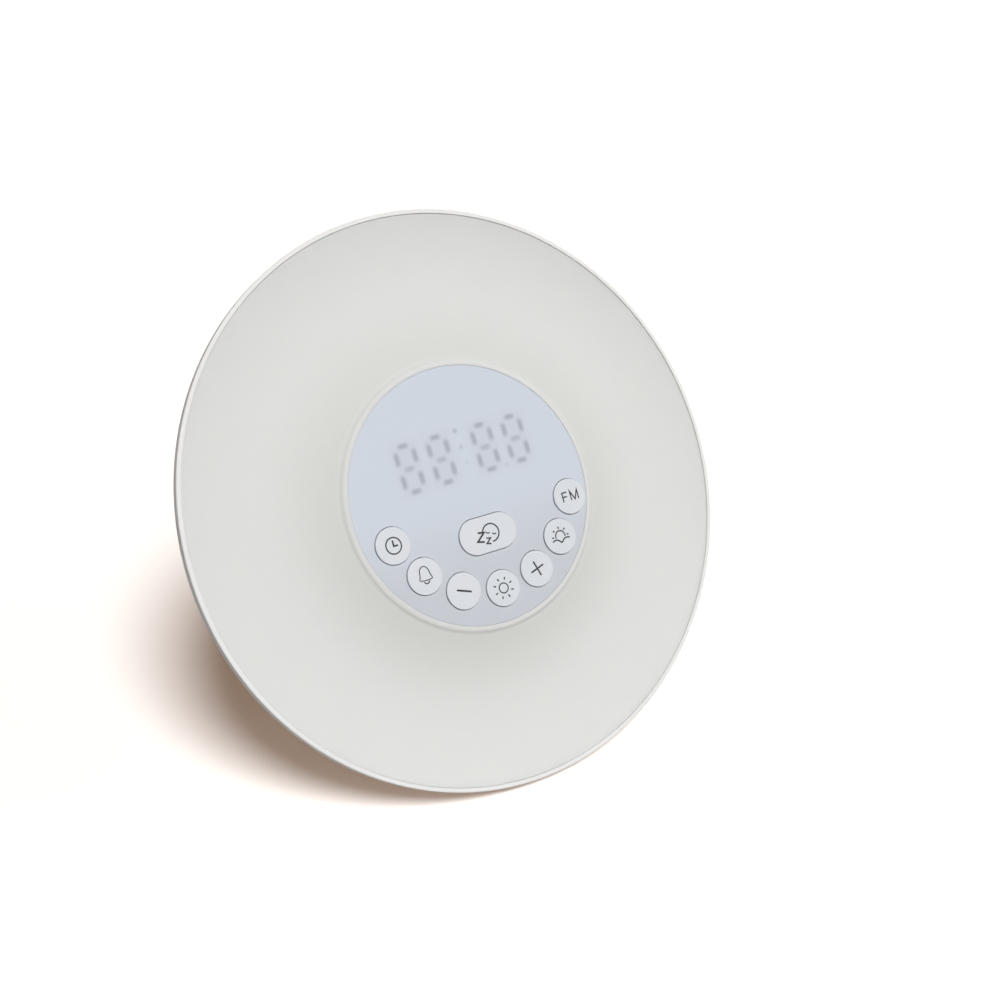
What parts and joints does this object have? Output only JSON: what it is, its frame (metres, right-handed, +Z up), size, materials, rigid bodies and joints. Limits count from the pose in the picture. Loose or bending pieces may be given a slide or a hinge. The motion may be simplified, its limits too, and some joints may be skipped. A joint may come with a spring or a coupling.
{
  "type": "sunrise alarm clock",
  "caption": "Round bedside sunrise lamp and alarm clock that leans back on a flat base, with a digit panel and keys in the middle of an opal light dish.",
  "frame": {"origin": "middle of the overall box at the level of the table", "axes": "+Z up, +X to the right of a person who faces the clock, +Y from the face to the back"},
  "size_m": [0.1746, 0.1314, 0.1536],
  "materials": {
    "white_abs": "satin moulded white ABS",
    "opal_lamp": "satin opal polycarbonate, warm white",
    "satin_panel": "satin translucent panel, cool grey-blue",
    "key_plastic": "satin moulded key, cool white",
    "inner_white": "plain moulded white",
    "display_case": "pale grey moulded block",
    "display_window": "clear cast resin",
    "foam": "closed-cell foam",
    "green_board": "solder mask on glass epoxy",
    "white_board": "white solder mask on glass epoxy",
    "black_plastic": "moulded black plastic",
    "can_aluminium": "drawn can",
    "connector_plastic": "moulded nylon",
    "steel": "bright zinc plate",
    "white_lamp": "phosphor in clear resin",
    "colour_lamp": "clear resin in a white case",
    "speaker_steel": "black enamelled steel",
    "ferrite": "sintered ferrite",
    "paper_cone": "pressed black paper",
    "soft_rubber": "soft rubber roll",
    "foot_rubber": "matt pale silicone rubber",
    "grommet_rubber": "matt pale rubber",
    "ribbon_grey": "flat vinyl cable",
    "wire_red": "vinyl insulation"
  },
  "bodies": {
    "housing": {"antenna_grommet": "grommet_rubber", "board_capacitors": "can_aluminium", "board_chips": "black_plastic", "board_connectors": "connector_plastic", "carrier_screws": "steel", "coin_cell": "steel", "coin_cell_holder": "black_plastic", "display_digits": "display_window", "display_gasket": "foam", "display_module": "display_case", "display_panel": "satin_panel", "frame_screws": "steel", "front_diffuser": "opal_lamp", "key_board": "green_board", "key_board_screws": "steel", "lamp_board": "white_board", "lamp_board_screws": "steel", "lamp_leads": "wire_red", "lamp_leds_colour": "colour_lamp", "lamp_leds_white": "white_lamp", "main_board": "green_board", "main_board_screws": "steel", "panel_carrier": "inner_white", "rear_shell": "white_abs", "reflector_dish": "inner_white", "reset_switch": "black_plastic", "ribbon_cable": "ribbon_grey", "rim_ring": "white_abs", "rubber_feet": "foot_rubber", "shell_screws": "steel", "speaker_frame": "speaker_steel", "speaker_gasket": "foam", "speaker_leads": "wire_red", "speaker_magnet": "ferrite", "speaker_screws": "steel", "speaker_surround": "soft_rubber", "switch_bodies": "black_plastic", "usb_board": "green_board", "usb_board_screws": "steel", "usb_leads": "wire_red", "usb_socket": "steel"},
    "key_clock": {"button_clock": "key_plastic", "plunger_clock": "black_plastic"},
    "key_bell": {"button_bell": "key_plastic", "plunger_bell": "black_plastic"},
    "key_minus": {"button_minus": "key_plastic", "plunger_minus": "black_plastic"},
    "key_sun": {"button_sun": "key_plastic", "plunger_sun": "black_plastic"},
    "key_plus": {"button_plus": "key_plastic", "plunger_plus": "black_plastic"},
    "key_sunset": {"button_sunset": "key_plastic", "plunger_sunset": "black_plastic"},
    "key_fm": {"button_fm": "key_plastic", "plunger_fm": "black_plastic"},
    "key_snooze": {"button_snooze": "key_plastic", "plunger_snooze": "black_plastic"},
    "reset": {"reset_plunger": "black_plastic"},
    "cone": {"speaker_cone": "paper_cone"}
  },
  "joints": [
    {"name": "press_clock", "type": "slide", "parent": "housing", "child": "key_clock", "axis": [0, 0.866, -0.5], "range_m": [0, 0.0005], "stiffness_N_per_m": 2000},
    {"name": "press_bell", "type": "slide", "parent": "housing", "child": "key_bell", "axis": [0, 0.866, -0.5], "range_m": [0, 0.0005], "stiffness_N_per_m": 2000},
    {"name": "press_minus", "type": "slide", "parent": "housing", "child": "key_minus", "axis": [0, 0.866, -0.5], "range_m": [0, 0.0005], "stiffness_N_per_m": 2000},
    {"name": "press_sun", "type": "slide", "parent": "housing", "child": "key_sun", "axis": [0, 0.866, -0.5], "range_m": [0, 0.0005], "stiffness_N_per_m": 2000},
    {"name": "press_plus", "type": "slide", "parent": "housing", "child": "key_plus", "axis": [0, 0.866, -0.5], "range_m": [0, 0.0005], "stiffness_N_per_m": 2000},
    {"name": "press_sunset", "type": "slide", "parent": "housing", "child": "key_sunset", "axis": [0, 0.866, -0.5], "range_m": [0, 0.0005], "stiffness_N_per_m": 2000},
    {"name": "press_fm", "type": "slide", "parent": "housing", "child": "key_fm", "axis": [0, 0.866, -0.5], "range_m": [0, 0.0005], "stiffness_N_per_m": 2000},
    {"name": "press_snooze", "type": "slide", "parent": "housing", "child": "key_snooze", "axis": [0, 0.866, -0.5], "range_m": [0, 0.0005], "stiffness_N_per_m": 2000},
    {"name": "press_reset", "type": "slide", "parent": "housing", "child": "reset", "axis": [0, -0.866, 0.5], "range_m": [0, 0.0003], "stiffness_N_per_m": 1500},
    {"name": "cone_travel", "type": "slide", "parent": "housing", "child": "cone", "axis": [0, -0.866, 0.5], "range_m": [-0.0006, 0.0006], "stiffness_N_per_m": 1200}
  ]
}
